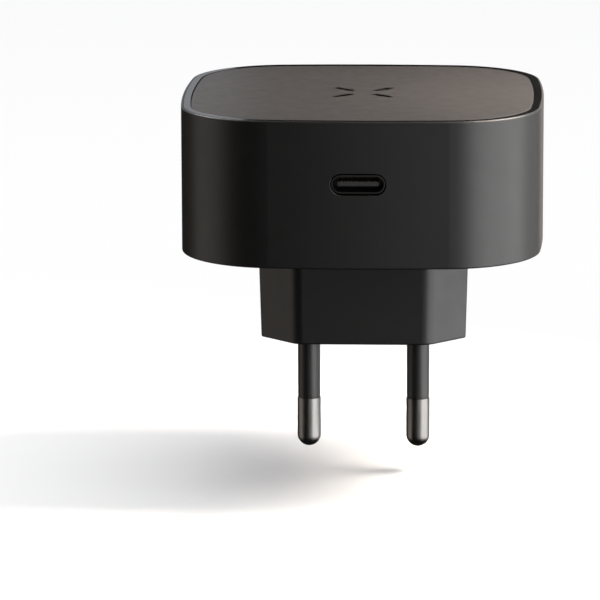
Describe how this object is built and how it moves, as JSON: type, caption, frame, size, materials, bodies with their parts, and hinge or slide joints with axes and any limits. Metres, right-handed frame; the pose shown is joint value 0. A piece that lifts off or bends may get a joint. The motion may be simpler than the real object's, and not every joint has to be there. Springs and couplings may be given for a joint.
{
  "type": "plug-in power adapter",
  "caption": "Soft-square plug-in power adapter with a hexagonal mains plug stem, round sleeved pins, a side USB-C socket and a flat charging face plate.",
  "frame": {"origin": "centre of the plug stem's end face, midway between the two pins, where the face meets a wall socket", "axes": "+Z from the pins up through the casing to the face plate, +X along the pair of pins, -Y towards the side with the USB-C socket"},
  "size_m": [0.0608, 0.0608, 0.0612],
  "materials": {
    "casing_gloss": "high gloss near-black plastic",
    "rim_gloss": "high gloss near-black plastic rim",
    "face_satin": "fine satin dark grey face",
    "stem_satin": "satin near-black plastic",
    "sleeve_black": "smooth dark sleeve",
    "pin_nickel": "nickel-plated, finely turned",
    "usb_steel": "plated drawn sheet",
    "usb_black": "black moulded insulator",
    "usb_tongue_grey": "dark grey moulded tongue",
    "contact_gold": "gilt contacts",
    "spring_brass": "rolled spring brass",
    "board_green": "solder mask over glass laminate",
    "control_blue": "solder mask over glass laminate",
    "screw_steel": "zinc-plated steel",
    "retainer_grey": "glass-filled plastic",
    "adhesive": "foam adhesive sheet",
    "fuse_brown": "moulded fuse case",
    "thermistor_green": "lacquered ceramic disc",
    "disc_blue": "lacquered ceramic disc",
    "capacitor_yellow": "film capacitor box",
    "ferrite": "sintered ferrite",
    "copper_wire": "enamelled copper",
    "can_sleeve": "shrunk film over an aluminium can",
    "can_aluminium": "bare aluminium can",
    "chip_black": "moulded chip body",
    "bobbin_tan": "phenolic spool",
    "tape_yellow": "insulating tape",
    "barrier_white": "insulating sheet",
    "header_black": "pin header",
    "carrier_black": "moulded tray",
    "shield_steel": "tinned shield",
    "pad_grey": "soft thermal pad"
  },
  "bodies": {
    "root": {"body_shell": "casing_gloss", "plug_stem": "stem_satin", "top_cover": "rim_gloss", "face_plate": "face_satin", "face_adhesive": "adhesive", "live_pin": "pin_nickel", "neutral_pin": "pin_nickel", "live_pin_sleeve": "sleeve_black", "neutral_pin_sleeve": "sleeve_black", "pin_retainer": "retainer_grey", "retainer_screws": "screw_steel", "live_contact_spring": "spring_brass", "neutral_contact_spring": "spring_brass", "main_board": "board_green", "board_screws": "screw_steel", "fuse": "fuse_brown", "thermistor": "thermistor_green", "y_capacitor": "disc_blue", "choke_core": "ferrite", "choke_winding": "copper_wire", "x_capacitor": "capacitor_yellow", "bridge_rectifier": "chip_black", "bulk_capacitors": "can_sleeve", "switching_controller": "chip_black", "transformer_core": "ferrite", "transformer_bobbin": "bobbin_tan", "transformer_winding": "tape_yellow", "optocoupler": "chip_black", "rectifier_mosfet": "chip_black", "output_capacitors": "can_aluminium", "isolation_barrier": "barrier_white", "output_board": "board_green", "output_header": "header_black", "usb_shell": "usb_steel", "usb_insulator": "usb_black", "usb_tongue": "usb_tongue_grey", "usb_contacts": "contact_gold", "power_chip": "chip_black", "charging_coil": "copper_wire", "ferrite_shield": "ferrite", "coil_carrier": "carrier_black", "control_board": "control_blue", "control_header": "header_black", "radio_module": "shield_steel", "coil_driver_chips": "chip_black", "thermal_pad": "pad_grey"}
  },
  "joints": []
}
